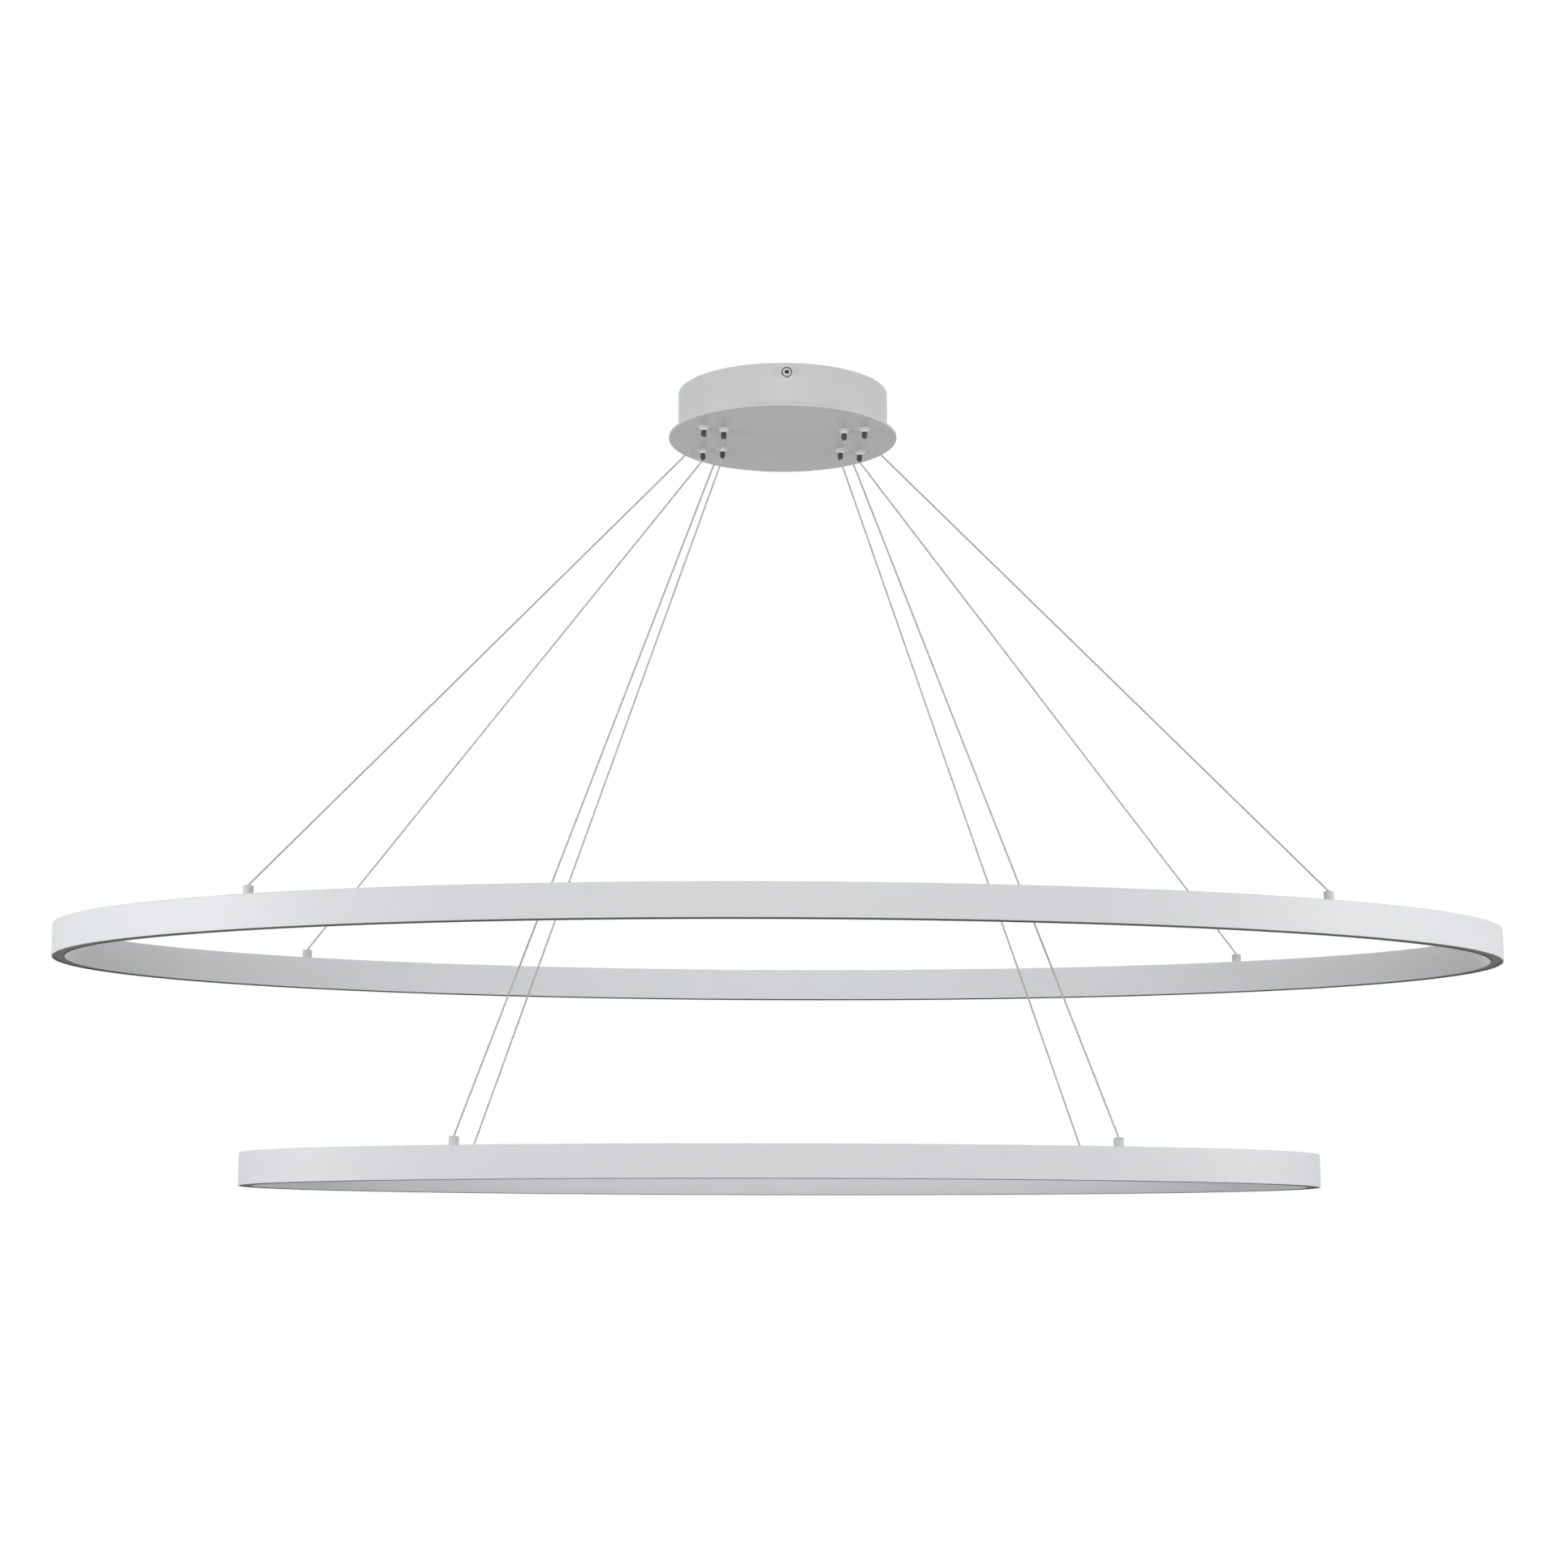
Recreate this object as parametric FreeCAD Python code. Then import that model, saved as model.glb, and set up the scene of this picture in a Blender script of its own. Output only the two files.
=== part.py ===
import FreeCAD, Part
import math
import os

# Oval two-tier pendant lamp: a round ceiling canopy holds two level oval light rings on eight
# straight steel cables. Each ring is a bent channel, open downwards, with a light strip on its
# roof and an opal strip in its mouth. The cables leave the canopy through spring plungers.
# Millimetres. The origin is the centre of the canopy on the ceiling plane, +Z points up,
# +X runs along the ovals' long axis, and -Y is the front.

Vector = FreeCAD.Vector
UP = Vector(0, 0, 1)

# Canopy: an open drum on a wider base plate
DRUM_RADIUS = 100.0
DRUM_HEIGHT = 42.0
DRUM_WALL = 1.2
PLATE_RADIUS = 109.0
PLATE_THICKNESS = 2.0

# Ceiling bracket inside the drum
BRACKET_WIDTH = 24.0
BRACKET_THICKNESS = 2.0
BRACKET_BEND = 1.0
TAB_LENGTH = 18.0
SLOT_SPACING = 70.0
SLOT_LENGTH = 14.0
SLOT_WIDTH = 5.0
SUPPLY_HOLE_RADIUS = 6.0

# Side screws that lock the drum to the bracket's tabs
SIDE_SCREW_DEPTH = 10.0
SIDE_SCREW_RADIUS = 2.0
SIDE_SCREW_LENGTH = 9.0
SIDE_HEAD_RADIUS = 5.3
SIDE_HEAD_HEIGHT = 3.8
SIDE_HEAD_CHAMFER = 0.8
SIDE_SOCKET_ACROSS = 3.0
SIDE_SOCKET_DEPTH = 2.2

# Two drivers under one strap, and a terminal block
DRIVER_LENGTH = 110.0
DRIVER_WIDTH = 34.0
DRIVER_HEIGHT = 21.0
DRIVER_GAP = 8.0
DRIVER_COVER_LENGTH = 16.0
DRIVER_COVER_STEP = 4.0
STRAP_WIDTH = 14.0
STRAP_THICKNESS = 1.2
STRAP_FOOT = 9.0
TERMINAL_LENGTH = 30.0
TERMINAL_WIDTH = 18.0
TERMINAL_HEIGHT = 13.0
TERMINAL_POLES = 3
TERMINAL_POLE_HOLE = 4.0
TERMINAL_HOLE_DEPTH = 5.0
TERMINAL_OFFSET = 27.0

# Cable grippers: a flared housing whose stud passes through the base plate to a nut,
# and a spring plunger that slides in the housing's bore
HOUSING_BRIM_RADIUS = 6.2
HOUSING_BRIM = 0.5
HOUSING_WAIST_RADIUS = 4.3
HOUSING_WAIST_DROP = 1.5
HOUSING_TIP_RADIUS = 3.6
HOUSING_DROP = 3.4
STUD_RADIUS = 4.0
STUD_RISE = 8.0
NUT_ACROSS = 13.0
NUT_HEIGHT = 4.0
PLUNGER_RADIUS = 2.6
PLUNGER_BEVEL = 0.6
PLUNGER_BORE_RADIUS = 1.1
PLUNGER_REACH = 6.0
PLUNGER_INSERT = 6.0
CABLE_RADIUS = 0.8

# Oval light rings
RING_WIDTH = 13.0
RING_HEIGHT = 30.0
RING_WALL = 1.2
RING_ROOF = 1.5
STRIP_WIDTH = 8.0
STRIP_THICKNESS = 1.0
DIFFUSER_THICKNESS = 1.6
DIFFUSER_RECESS = 1.0
ANCHOR_RADIUS = 4.5
ANCHOR_HEIGHT = 8.0
ANCHOR_CHAMFER = 0.8
UPPER_LENGTH = 1340.0
UPPER_BREADTH = 620.0
UPPER_DROP = 474.0
UPPER_GRIPPER = (76.0, 38.0)
UPPER_ANCHOR_ANGLE = 45.8
LOWER_LENGTH = 990.0
LOWER_BREADTH = 310.0
LOWER_DROP = 680.0
LOWER_GRIPPER = (57.0, 32.0)
LOWER_ANCHOR_ANGLE = 53.6
OVAL_SPANS = 12
STRIP_BOARDS = 56

# Flat sides of the small round pieces that repeat
HEAD_SIDES = 18
BORE_SIDES = 14
CABLE_SIDES = 12

# Clearances
PRESS_GAP = 0.02
RUNNING_GAP = 0.05
THREAD_GAP = 0.05
LOOSE_GAP = 0.3

# Places that follow from the sizes
PLATE_TOP = -DRUM_HEIGHT
PLATE_BOTTOM = PLATE_TOP - PLATE_THICKNESS
DRUM_INSIDE = DRUM_RADIUS - DRUM_WALL
BRACKET_REACH = math.sqrt((DRUM_INSIDE - LOOSE_GAP) ** 2 - (BRACKET_WIDTH / 2) ** 2)
HOUSING_TIP = PLATE_BOTTOM - HOUSING_DROP
PLUNGER_MOUTH = HOUSING_TIP - PLUNGER_REACH
UPPER = {
    "length": UPPER_LENGTH,
    "breadth": UPPER_BREADTH,
    "top": PLATE_BOTTOM - UPPER_DROP,
    "gripper": UPPER_GRIPPER,
    "anchor_angle": UPPER_ANCHOR_ANGLE,
}
LOWER = {
    "length": LOWER_LENGTH,
    "breadth": LOWER_BREADTH,
    "top": PLATE_BOTTOM - LOWER_DROP,
    "gripper": LOWER_GRIPPER,
    "anchor_angle": LOWER_ANCHOR_ANGLE,
}
TIERS = {"upper": UPPER, "lower": LOWER}
SIDES = {"left": -1, "right": 1}
DEPTHS = {"front": -1, "back": 1}


def box(low, high):
    """A block between two corners."""
    return Part.makeBox(high[0] - low[0], high[1] - low[1], high[2] - low[2], Vector(*low))


def rod(radius, low, high, x=0.0, y=0.0):
    """An upright cylinder between two heights."""
    return Part.makeCylinder(radius, high - low, Vector(x, y, low))


def corners(sides, radius, height, place=Vector(0, 0, 0)):
    """The corners of a level regular polygon, the first one again at the end."""
    turns = [2 * math.pi * (corner % sides) / sides for corner in range(sides + 1)]
    return [
        place + Vector(radius * math.cos(turn), radius * math.sin(turn), height)
        for turn in turns
    ]


def flat_sided(sides, outline, place=Vector(0, 0, 0)):
    """A piece like a turned one, with flat sides, from its (radius, height) steps upwards."""
    rings = [corners(sides, radius, height, place) for radius, height in outline]
    outlines = [rings[0], rings[-1]]
    for low, high in zip(rings, rings[1:]):
        for side in range(sides):
            outlines.append([low[side], low[side + 1], high[side + 1], high[side], low[side]])
    faces = [Part.Face(Part.makePolygon(outline)) for outline in outlines]
    return Part.Solid(Part.Shell(faces))


def hexagon(width, low, high, place=Vector(0, 0, 0)):
    """An upright hexagonal prism of a width across flats."""
    corner = width / math.sqrt(3)
    return flat_sided(6, [(corner, low), (corner, high)], place)


def each_corner(tier):
    """Name and signs of the four places where a ring hangs."""
    return [
        (f"{tier}_{depth}_{side}", SIDES[side], DEPTHS[depth])
        for depth in DEPTHS
        for side in SIDES
    ]


def oval_wire(length, breadth, inset, height):
    """An ellipse of tangent arcs, two to a span, moved inwards by inset.

    Every span starts and ends on the ellipse and square to it, so the parallel
    curve keeps the arcs' centres and only their radii are shorter.
    """
    half_length = length / 2
    half_breadth = breadth / 2
    stretch = math.sqrt(half_length / half_breadth)
    places = []
    for step in range(OVAL_SPANS + 1):
        turn = 2 * math.pi * step / OVAL_SPANS
        place = math.atan2(math.sin(turn) / stretch, math.cos(turn))
        facing = math.atan2(math.sin(turn) * stretch, math.cos(turn))
        if step > OVAL_SPANS / 2:
            facing += 2 * math.pi
        if step == OVAL_SPANS:
            facing = 2 * math.pi
        point = Vector(half_length * math.cos(place), half_breadth * math.sin(place), height)
        places.append((point, facing))
    arcs = []
    for (start, first), (end, last) in zip(places, places[1:]):
        middle = (first + last) / 2
        outwards = [Vector(math.cos(angle), math.sin(angle), 0) for angle in (first, middle, last)]
        one = outwards[1] - outwards[0]
        two = outwards[2] - outwards[1]
        run = end - start
        area = one.x * two.y - one.y * two.x
        near_radius = (run.x * two.y - run.y * two.x) / area
        far_radius = (one.x * run.y - one.y * run.x) / area
        centre = start - outwards[0] * near_radius
        arcs.append(arc(centre, near_radius - inset, first, middle))
        centre = end - outwards[2] * far_radius
        arcs.append(arc(centre, far_radius - inset, middle, last))
    return Part.Wire(arcs)


def arc(centre, radius, first, last):
    """An arc about a centre between two directions, in radians."""
    points = [
        centre + Vector(radius * math.cos(angle), radius * math.sin(angle), 0)
        for angle in (first, (first + last) / 2, last)
    ]
    return Part.Arc(*points).toShape()


def oval_band(tier, outer_inset, inner_inset, low, high):
    """A band that follows the ring between two insets and two heights below its top."""
    outer = oval_wire(tier["length"], tier["breadth"], outer_inset, tier["top"] - low)
    inner = oval_wire(tier["length"], tier["breadth"], inner_inset, tier["top"] - low)
    inner.reverse()
    return Part.Face([outer, inner]).extrude(Vector(0, 0, low - high))


def ring_channel(tier):
    """The bent channel: two walls and a roof, open downwards."""
    body = oval_band(tier, 0, RING_WIDTH, 0, RING_HEIGHT)
    hollow = oval_band(tier, RING_WALL, RING_WIDTH - RING_WALL, RING_ROOF, RING_HEIGHT)
    return body.cut(hollow)


def light_strip(tier):
    """Straight light boards, mitred end to end under the channel's roof."""
    loops = []
    for inset in ((RING_WIDTH - STRIP_WIDTH) / 2, (RING_WIDTH + STRIP_WIDTH) / 2):
        angles = [360 * (board % STRIP_BOARDS) / STRIP_BOARDS for board in range(STRIP_BOARDS + 1)]
        joints = [oval_point(tier, angle, inset) - UP * RING_ROOF for angle in angles]
        loops.append(Part.makePolygon(joints))
    loops[1].reverse()
    return Part.Face(loops).extrude(UP * -STRIP_THICKNESS)


def diffuser(tier):
    """The opal strip, pushed into the channel's mouth and set back a little."""
    margin = RING_WALL + PRESS_GAP
    low = RING_HEIGHT - DIFFUSER_RECESS - DIFFUSER_THICKNESS
    return oval_band(tier, margin, RING_WIDTH - margin, low, RING_HEIGHT - DIFFUSER_RECESS)


def oval_point(tier, degrees, inset):
    """A point on the ring's top, moved square inwards from its ellipse."""
    half_length = tier["length"] / 2
    half_breadth = tier["breadth"] / 2
    angle = math.radians(degrees)
    on_edge = Vector(half_length * math.cos(angle), half_breadth * math.sin(angle), tier["top"])
    outwards = Vector(half_breadth * math.cos(angle), half_length * math.sin(angle), 0).normalize()
    return on_edge - outwards * inset


def anchor_place(tier, side, depth):
    """The foot of a cable anchor, on the middle of the ring's top."""
    place = oval_point(tier, tier["anchor_angle"], RING_WIDTH / 2)
    return Vector(side * place.x, depth * place.y, place.z)


def anchors(name, tier):
    """Four cable anchors, welded upright on the ring's top."""
    outline = [
        (ANCHOR_RADIUS, 0),
        (ANCHOR_RADIUS, ANCHOR_HEIGHT - ANCHOR_CHAMFER),
        (ANCHOR_RADIUS - ANCHOR_CHAMFER, ANCHOR_HEIGHT),
    ]
    return Part.makeCompound(
        [
            flat_sided(HEAD_SIDES, outline, anchor_place(tier, side, depth))
            for _, side, depth in each_corner(name)
        ]
    )


def gripper_place(tier, side, depth):
    """The gripper's axis, on the underside of the base plate."""
    return Vector(side * tier["gripper"][0], depth * tier["gripper"][1], PLATE_BOTTOM)


def gripper_places():
    """All eight gripper axes."""
    return [
        gripper_place(tier, side, depth)
        for name, tier in TIERS.items()
        for _, side, depth in each_corner(name)
    ]


def gripper_housings():
    """Flared housings under the plate, with bored studs that rise through it."""
    stud_top = PLATE_THICKNESS + STUD_RISE
    room = PLUNGER_RADIUS + RUNNING_GAP
    flare = [
        (HOUSING_TIP_RADIUS, -HOUSING_DROP),
        (HOUSING_WAIST_RADIUS, -HOUSING_WAIST_DROP),
        (HOUSING_BRIM_RADIUS, -HOUSING_BRIM),
        (HOUSING_BRIM_RADIUS, 0),
    ]
    stud = [(STUD_RADIUS, 0), (STUD_RADIUS, stud_top)]
    bore = [(room, -HOUSING_DROP), (room, stud_top)]
    pieces = []
    for place in gripper_places():
        piece = flat_sided(HEAD_SIDES, flare, place).fuse(flat_sided(BORE_SIDES, stud, place))
        pieces.append(piece.cut(flat_sided(BORE_SIDES, bore, place)))
    return Part.makeCompound(pieces)


def gripper_nuts():
    """A nut on each housing's stud, on top of the base plate."""
    hole = [(STUD_RADIUS + THREAD_GAP, 0), (STUD_RADIUS + THREAD_GAP, NUT_HEIGHT)]
    pieces = []
    for place in gripper_places():
        foot = place + UP * PLATE_THICKNESS
        nut = hexagon(NUT_ACROSS, 0, NUT_HEIGHT, foot)
        pieces.append(nut.cut(flat_sided(BORE_SIDES, hole, foot)))
    return Part.makeCompound(pieces)


def plunger(tier, side, depth):
    """The bevelled sleeve that frees the cable when it is pushed up into its housing."""
    place = gripper_place(tier, side, depth)
    low = -HOUSING_DROP - PLUNGER_REACH
    high = -HOUSING_DROP + PLUNGER_INSERT
    outline = [
        (PLUNGER_RADIUS - PLUNGER_BEVEL, low),
        (PLUNGER_RADIUS, low + PLUNGER_BEVEL),
        (PLUNGER_RADIUS, high),
    ]
    hole = [(PLUNGER_BORE_RADIUS, low), (PLUNGER_BORE_RADIUS, high)]
    return flat_sided(BORE_SIDES, outline, place).cut(flat_sided(CABLE_SIDES, hole, place))


def cable(tier, side, depth):
    """A straight taut cable from its plunger's mouth to its anchor, cut level at both ends."""
    start = gripper_place(tier, side, depth)
    start.z = PLUNGER_MOUTH
    end = anchor_place(tier, side, depth) + UP * ANCHOR_HEIGHT
    along = end - start
    spare = along * (3 * CABLE_RADIUS / abs(along.z))
    outline = Part.makePolygon(corners(CABLE_SIDES, CABLE_RADIUS, 0))
    outline.Placement = FreeCAD.Placement(start - spare, FreeCAD.Rotation(UP, along))
    whole = Part.Face(outline).extrude(along + spare * 2)
    room = max(abs(along.x), abs(along.y)) + abs(spare.x) + abs(spare.y) + 2 * CABLE_RADIUS
    low = (start.x - room, start.y - room, end.z + LOOSE_GAP)
    high = (start.x + room, start.y + room, start.z - LOOSE_GAP)
    return whole.common(box(low, high))


def canopy_plate():
    """The round base plate with a hole for each gripper's stud."""
    plate = rod(PLATE_RADIUS, PLATE_BOTTOM, PLATE_TOP)
    hole = [(STUD_RADIUS + THREAD_GAP, 0), (STUD_RADIUS + THREAD_GAP, PLATE_THICKNESS)]
    return plate.cut([flat_sided(BORE_SIDES, hole, place) for place in gripper_places()])


def across(radius, near, far):
    """A round bar along Y at the side screws' height, between two distances from the middle."""
    bar = flat_sided(BORE_SIDES, [(radius, near), (radius, far)])
    bar.rotate(Vector(0, 0, 0), Vector(1, 0, 0), -90)
    bar.translate(UP * -SIDE_SCREW_DEPTH)
    return bar


def canopy_drum():
    """The drum's wall, with a hole at the front and back for the side screws."""
    wall = rod(DRUM_RADIUS, PLATE_TOP, 0).cut(rod(DRUM_INSIDE, PLATE_TOP, 0))
    return wall.cut(across(SIDE_SCREW_RADIUS + LOOSE_GAP, -DRUM_RADIUS, DRUM_RADIUS))


def ceiling_bracket():
    """A steel strip across the drum, its ends bent down into tabs for the side screws."""
    half = BRACKET_WIDTH / 2
    outer = box((-half, -BRACKET_REACH, -TAB_LENGTH), (half, BRACKET_REACH, 0))
    inside = BRACKET_REACH - BRACKET_THICKNESS
    outer = outer.cut(box((-half, -inside, -TAB_LENGTH), (half, inside, -BRACKET_THICKNESS)))
    bends = [
        edge
        for edge in outer.Edges
        if abs(edge.BoundBox.XLength - BRACKET_WIDTH) < 0.01 and edge.BoundBox.ZMin > -BRACKET_THICKNESS / 2
    ]
    strip = outer.makeFillet(BRACKET_BEND, bends)
    slot_run = (SLOT_LENGTH - SLOT_WIDTH) / 2
    cuts = [rod(SUPPLY_HOLE_RADIUS, -BRACKET_THICKNESS, 0)]
    for middle in (-SLOT_SPACING / 2, SLOT_SPACING / 2):
        low = (-SLOT_WIDTH / 2, middle - slot_run, -BRACKET_THICKNESS)
        cuts.append(box(low, (SLOT_WIDTH / 2, middle + slot_run, 0)))
        cuts.append(rod(SLOT_WIDTH / 2, -BRACKET_THICKNESS, 0, 0, middle - slot_run))
        cuts.append(rod(SLOT_WIDTH / 2, -BRACKET_THICKNESS, 0, 0, middle + slot_run))
    cuts.append(across(SIDE_SCREW_RADIUS + THREAD_GAP, -BRACKET_REACH, BRACKET_REACH))
    return strip.cut(cuts)


def side_screws():
    """Two chamfered socket-head screws through the drum into the bracket's tabs."""
    outline = [
        (SIDE_HEAD_RADIUS, 0),
        (SIDE_HEAD_RADIUS, SIDE_HEAD_HEIGHT - SIDE_HEAD_CHAMFER),
        (SIDE_HEAD_RADIUS - SIDE_HEAD_CHAMFER, SIDE_HEAD_HEIGHT),
    ]
    head = flat_sided(HEAD_SIDES, outline)
    head = head.cut(hexagon(SIDE_SOCKET_ACROSS, SIDE_HEAD_HEIGHT - SIDE_SOCKET_DEPTH, SIDE_HEAD_HEIGHT))
    shank = [(SIDE_SCREW_RADIUS, -SIDE_SCREW_LENGTH), (SIDE_SCREW_RADIUS, 0)]
    screw = head.fuse(flat_sided(BORE_SIDES, shank))
    screw.rotate(Vector(0, 0, 0), Vector(1, 0, 0), 90)
    screw.translate(Vector(0, -DRUM_RADIUS, -SIDE_SCREW_DEPTH))
    opposite = screw.copy()
    opposite.rotate(Vector(0, 0, 0), UP, 180)
    return Part.makeCompound([screw, opposite])


def driver(side):
    """A driver: its case, with a lower cover over the terminals at each end."""
    near = DRIVER_GAP / 2
    far = near + DRIVER_WIDTH
    xs = sorted((side * near, side * far))
    half = DRIVER_LENGTH / 2
    cover = PLATE_TOP + DRIVER_HEIGHT - DRIVER_COVER_STEP
    case = box((xs[0], -half, PLATE_TOP), (xs[1], half, PLATE_TOP + DRIVER_HEIGHT))
    for low, high in ((-half, -half + DRIVER_COVER_LENGTH), (half - DRIVER_COVER_LENGTH, half)):
        case = case.cut(box((xs[0], low, cover), (xs[1], high, PLATE_TOP + DRIVER_HEIGHT)))
    return case


def driver_strap():
    """A bent strap over both drivers, with a foot welded to the plate on each side."""
    inside = DRIVER_GAP / 2 + DRIVER_WIDTH + LOOSE_GAP
    outside = inside + STRAP_THICKNESS
    under = PLATE_TOP + DRIVER_HEIGHT + LOOSE_GAP
    foot = PLATE_TOP + STRAP_THICKNESS
    half = STRAP_WIDTH / 2
    right = [
        (outside + STRAP_FOOT, PLATE_TOP),
        (outside + STRAP_FOOT, foot),
        (outside, foot),
        (outside, under + STRAP_THICKNESS),
    ]
    inner = [(-inside, PLATE_TOP), (-inside, under), (inside, under), (inside, PLATE_TOP)]
    left = [(-x, z) for x, z in reversed(right)]
    outline = [Vector(x, -half, z) for x, z in right + left + inner]
    return Part.Face(Part.makePolygon(outline + outline[:1])).extrude(Vector(0, STRAP_WIDTH, 0))


def terminal_block():
    """A block of poles under the bracket, each open for a wire at both ends."""
    top = -BRACKET_THICKNESS
    middle = -TERMINAL_OFFSET
    half_length = TERMINAL_LENGTH / 2
    half_width = TERMINAL_WIDTH / 2
    low = (-half_length, middle - half_width, top - TERMINAL_HEIGHT)
    block = box(low, (half_length, middle + half_width, top))
    pitch = TERMINAL_LENGTH / TERMINAL_POLES
    hole = TERMINAL_POLE_HOLE / 2
    level = top - TERMINAL_HEIGHT / 2
    floor = half_width - TERMINAL_HOLE_DEPTH
    for pole in range(TERMINAL_POLES):
        x = -half_length + pitch * (pole + 0.5)
        for near, far in ((-half_width, -floor), (floor, half_width)):
            low = (x - hole, middle + near, level - hole)
            block = block.cut(box(low, (x + hole, middle + far, level + hole)))
    return block


def build():
    """Every piece of the lamp under its name."""
    parts = {
        "canopy_drum": canopy_drum(),
        "canopy_plate": canopy_plate(),
        "ceiling_bracket": ceiling_bracket(),
        "canopy_side_screws": side_screws(),
        "driver_upper_ring": driver(SIDES["left"]),
        "driver_lower_ring": driver(SIDES["right"]),
        "driver_strap": driver_strap(),
        "terminal_block": terminal_block(),
        "gripper_housings": gripper_housings(),
        "gripper_nuts": gripper_nuts(),
    }
    for name, tier in TIERS.items():
        parts[f"{name}_ring_channel"] = ring_channel(tier)
        parts[f"{name}_ring_light_strip"] = light_strip(tier)
        parts[f"{name}_ring_diffuser"] = diffuser(tier)
        parts[f"{name}_ring_anchors"] = anchors(name, tier)
        for corner, side, depth in each_corner(name):
            parts[f"plunger_{corner}"] = plunger(tier, side, depth)
            parts[f"cable_{corner}"] = cable(tier, side, depth)
    return parts


os.makedirs("parts", exist_ok=True)
for node, shape in build().items():
    shape.exportStep(f"parts/{node}.step")
    print(node, len(shape.Solids), round(shape.Volume), shape.isValid())
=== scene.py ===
import math

import bmesh
import bpy
import numpy as np
from bpy.props import FloatProperty, FloatVectorProperty, IntProperty, PointerProperty
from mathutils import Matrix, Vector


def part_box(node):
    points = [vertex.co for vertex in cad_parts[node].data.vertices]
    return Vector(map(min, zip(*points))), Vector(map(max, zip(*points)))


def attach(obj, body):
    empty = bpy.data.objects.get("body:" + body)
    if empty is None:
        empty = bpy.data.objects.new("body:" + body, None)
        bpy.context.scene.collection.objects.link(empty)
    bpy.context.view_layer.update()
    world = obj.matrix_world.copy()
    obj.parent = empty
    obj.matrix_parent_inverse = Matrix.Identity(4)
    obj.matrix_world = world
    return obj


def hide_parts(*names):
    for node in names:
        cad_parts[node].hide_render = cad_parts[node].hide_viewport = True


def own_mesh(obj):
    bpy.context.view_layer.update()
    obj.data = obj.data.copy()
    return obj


bl_info = {
    "name": "Oval ring pendant lamp",
    "version": (1, 0, 0),
    "blender": (4, 5, 0),
    "location": "3D View > Sidebar > Pendant",
    "description": "Surfaces, finishes and studio for a pendant lamp with two oval light rings",
    "category": "Object",
}

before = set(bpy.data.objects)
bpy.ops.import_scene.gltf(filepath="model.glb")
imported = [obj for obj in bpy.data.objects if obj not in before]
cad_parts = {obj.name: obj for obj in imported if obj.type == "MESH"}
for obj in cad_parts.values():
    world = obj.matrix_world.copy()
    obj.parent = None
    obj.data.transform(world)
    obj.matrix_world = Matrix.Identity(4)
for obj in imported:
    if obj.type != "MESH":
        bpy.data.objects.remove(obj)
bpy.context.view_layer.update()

TIERS = ("upper", "lower")
CORNERS = {
    "front_left": (-1, -1),
    "front_right": (1, -1),
    "back_left": (-1, 1),
    "back_right": (1, 1),
}

# Radii of corners, in metres: one that stays sharp, and one that is only just broken
SHARP = 1e-6
BROKEN = 1e-5

# The softboxes: where each stands, what it is turned to, its width and height, all in metres,
# and its spread in degrees
SOFTBOXES = {
    "left": ((-1.9, -1.0, -0.5), (-0.5, 0, -0.5), (0.6, 1.0), 100),
    "right": ((1.9, -1.0, -0.5), (0.5, 0, -0.5), (0.6, 1.0), 100),
    "front": ((0, -3.4, -0.3), (0, 0, -0.4), (1.4, 0.8), 45),
    "back": ((0, 3.2, 0.4), (0, 0, -0.45), (2.0, 0.8), 70),
    "top": ((0, 0.9, 1.6), (0, 0.1, -0.3), (1.6, 1.0), 70),
}


# Places and colours

def node_middle(node):
    """The middle of a CAD node's box, in metres."""
    low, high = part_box(node)
    return (low + high) / 2


def display(red, green, blue):
    """The linear values that Blender uses for a colour as it reads on a screen."""
    values = np.array([red, green, blue])
    return tuple(np.where(values <= 0.04045, values / 12.92, ((values + 0.055) / 1.055) ** 2.4))


# Surfaces

def neighbours(corner):
    """Unit directions from each corner of a closed outline to the one before and the one after."""
    back = np.roll(corner, 1, axis=0) - corner
    ahead = np.roll(corner, -1, axis=0) - corner
    back /= np.linalg.norm(back, axis=1, keepdims=True)
    ahead /= np.linalg.norm(ahead, axis=1, keepdims=True)
    return back, ahead


def rounded_outline(points, radii, steps=4, support=0.00012):
    """A closed outline whose corners are arcs, with a point just before and after each arc.

    At a corner with unit directions a and b to its neighbours and half the angle h between
    them, the arc of radius r touches the sides at r / tan(h) from the corner and its centre
    lies at r / sin(h) along a + b. Points of the arc are turned evenly about that centre.
    The points before and after it stand off by the length support.
    """
    corner = np.asarray(points, float)
    radius = np.broadcast_to(np.asarray(radii, float), len(corner))[:, None]
    back, ahead = neighbours(corner)
    half = np.arccos(np.clip((back * ahead).sum(1, keepdims=True), -1, 1)) / 2
    reach = radius / np.tan(half)
    inward = (back + ahead) / np.linalg.norm(back + ahead, axis=1, keepdims=True)
    centre = corner + inward * radius / np.sin(half)
    start = corner + back * reach - centre
    end = corner + ahead * reach - centre
    turn = math.pi - 2 * half
    share = np.linspace(0, 1, steps + 1)[None, :, None]
    turn = turn[:, None]
    arcs = np.sin((1 - share) * turn) * start[:, None] + np.sin(share * turn) * end[:, None]
    arcs = centre[:, None] + arcs / np.sin(turn)
    before = (corner + back * (reach + support))[:, None]
    after = (corner + ahead * (reach + support))[:, None]
    return np.concatenate([before, arcs, after], axis=1).reshape(-1, 2)


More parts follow.
